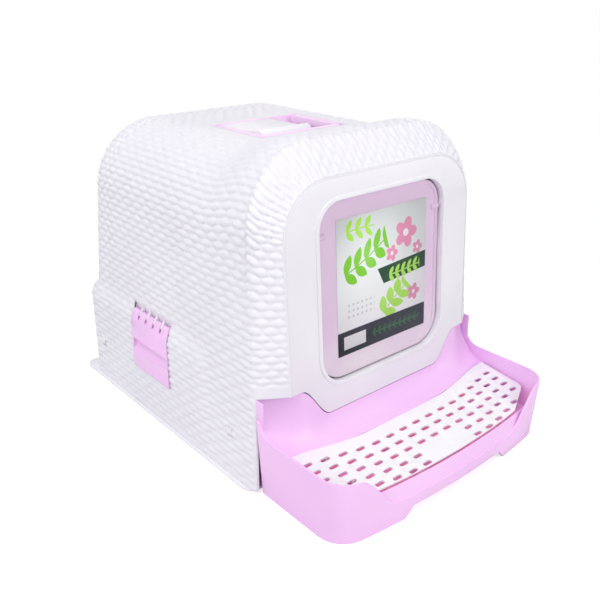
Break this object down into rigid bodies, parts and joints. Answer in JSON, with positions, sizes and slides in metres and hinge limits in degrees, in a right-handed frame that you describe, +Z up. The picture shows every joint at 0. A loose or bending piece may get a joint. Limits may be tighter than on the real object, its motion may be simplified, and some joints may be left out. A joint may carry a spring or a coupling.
{
  "type": "hooded cat litter box",
  "caption": "Hooded litter box with a pull-out tray and landing step, a swinging see-through flap, side latches, a drop-through grate and a fold-down carry handle.",
  "frame": {"origin": "centre of the footprint, on the floor", "axes": "+Z up, the door and the step face -Y, +X to the right seen from the front"},
  "size_m": [0.394, 0.574, 0.394],
  "materials": {
    "white_shell": "moulded wicker pattern, semi-gloss",
    "white_trim": "smooth, glossy",
    "pink_tray": "smooth, glossy",
    "pink_trim": "smooth, semi-gloss",
    "clear_pink": "tinted clear plastic",
    "card": "printed card",
    "carbon": "carbon-filled foam pad"
  },
  "bodies": {
    "base": {"base_tray": "white_shell"},
    "hood": {"hood_shell": "white_shell", "front_panel": "white_trim", "handle_pan": "pink_trim", "latch_pin_left": "pink_trim", "latch_pin_right": "pink_trim", "carbon_filter": "carbon"},
    "tray": {"drawer": "pink_tray"},
    "grate": {"step_grate": "white_trim"},
    "door": {"flap": "clear_pink", "flap_card": "card"},
    "clip_left": {"latch_left": "pink_trim"},
    "clip_right": {"latch_right": "pink_trim"},
    "handle": {"carry_handle": "pink_trim"},
    "lid": {"filter_lid": "white_trim"}
  },
  "joints": [
    {"name": "hood_lift", "type": "slide", "parent": "base", "child": "hood", "axis": [0, 0, 1], "range_m": [0, 0.15]},
    {"name": "drawer_slide", "type": "slide", "parent": "base", "child": "tray", "axis": [0, -1, 0], "range_m": [0, 0.33]},
    {"name": "grate_lift", "type": "slide", "parent": "tray", "child": "grate", "axis": [0, 0, 1], "range_m": [0, 0.08]},
    {"name": "flap_swing", "type": "hinge", "parent": "hood", "child": "door", "pos_m": [0, -0.1386, 0.2925], "axis": [1, 0, 0], "range_deg": [-70, 70]},
    {"name": "latch_left_swing", "type": "hinge", "parent": "hood", "child": "clip_left", "pos_m": [-0.1841, 0.0845, 0.141], "axis": [0, 1, 0], "range_deg": [0, 75]},
    {"name": "latch_right_swing", "type": "hinge", "parent": "hood", "child": "clip_right", "pos_m": [0.1841, 0.0845, 0.141], "axis": [0, -1, 0], "range_deg": [0, 75]},
    {"name": "handle_swing", "type": "hinge", "parent": "hood", "child": "handle", "pos_m": [0, 0.0875, 0.3735], "axis": [-1, 0, 0], "range_deg": [0, 88]},
    {"name": "lid_lift", "type": "slide", "parent": "hood", "child": "lid", "axis": [0, 0, 1], "range_m": [0, 0.04]}
  ]
}
